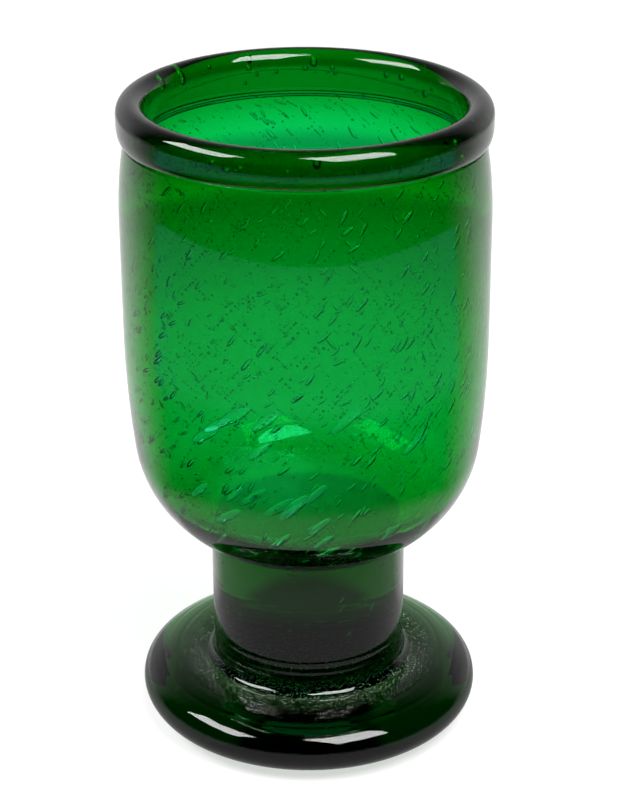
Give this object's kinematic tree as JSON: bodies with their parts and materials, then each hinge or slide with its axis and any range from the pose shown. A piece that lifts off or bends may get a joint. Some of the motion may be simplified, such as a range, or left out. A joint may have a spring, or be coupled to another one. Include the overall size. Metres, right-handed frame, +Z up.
{
  "type": "water goblet",
  "caption": "Drinking goblet of green bubbled glass: tall rounded bowl with a thick rounded lip, on a short solid stem and a heavy round foot.",
  "frame": {"origin": "on the goblet's axis, in the plane that the foot stands on", "axes": "+Z up along the goblet's axis; X and Y are alike, because the goblet is round"},
  "size_m": [0.0818, 0.0818, 0.15],
  "materials": {
    "green_glass": "fire-polished, with small bubbles in the glass"
  },
  "bodies": {
    "root": {"bowl": "green_glass", "lip": "green_glass", "stem": "green_glass", "foot": "green_glass"}
  },
  "joints": []
}
